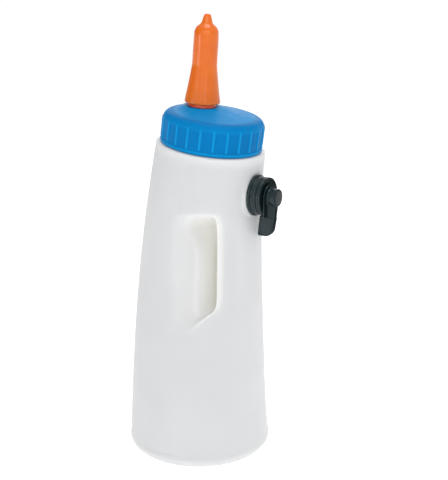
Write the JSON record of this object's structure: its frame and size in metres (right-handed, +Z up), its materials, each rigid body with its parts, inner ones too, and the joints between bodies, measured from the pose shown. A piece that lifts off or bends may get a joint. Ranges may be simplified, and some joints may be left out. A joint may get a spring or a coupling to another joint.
{
  "type": "calf feeding bottle",
  "caption": "Leaning blow-moulded feeding bottle with side grip recesses, ribbed screw cap, rubber calf teat and a quarter-turn air valve with a breather tube.",
  "frame": {"origin": "centre of the round standing ring, on the surface that the bottle stands on", "axes": "+Z up, +X towards the handle's front and the air valve, XZ is the bottle's plane of symmetry"},
  "size_m": [0.1561, 0.1396, 0.4231],
  "materials": {
    "hdpe": "satin translucent polyethylene",
    "cap_plastic": "satin gloss moulded",
    "teat_rubber": "satin natural rubber",
    "valve_plastic": "satin moulded nylon",
    "seal_rubber": "matte",
    "slip_plastic": "satin acetal",
    "steel": "stainless",
    "tube_silicone": "milky silicone"
  },
  "bodies": {
    "bottle": {"bottle_body": "hdpe", "valve_body": "valve_plastic", "valve_gasket": "seal_rubber", "valve_inner_washer": "seal_rubber", "valve_nut": "valve_plastic", "valve_collar": "valve_plastic", "thrust_washer": "slip_plastic", "breather_tube": "tube_silicone"},
    "gasket": {"cap_gasket": "slip_plastic"},
    "cap": {"screw_cap": "cap_plastic", "teat": "teat_rubber"},
    "lever": {"valve_plug": "slip_plastic", "plug_o_ring_front": "seal_rubber", "plug_o_ring_rear": "seal_rubber", "valve_lever": "valve_plastic", "lever_screw": "steel", "lever_screw_cover": "valve_plastic"}
  },
  "joints": [
    {"name": "cap_lift", "type": "slide", "parent": "bottle", "child": "gasket", "axis": [0.1323, 0, 0.9912], "range_m": [0, 0.0076]},
    {"name": "cap_turn", "type": "hinge", "parent": "gasket", "child": "cap", "pos_m": [0.0146, 0, 0.304], "axis": [0.1323, 0, 0.9912], "range_deg": [0, 450]},
    {"name": "lever_turn", "type": "hinge", "parent": "bottle", "child": "lever", "pos_m": [0.0623, 0, 0.261], "axis": [1, 0, 0], "range_deg": [-90, 0]}
  ],
  "couplings": [
    {"joint": "cap_lift", "follows": "cap_turn", "m_per_rad": 0.00095493}
  ]
}
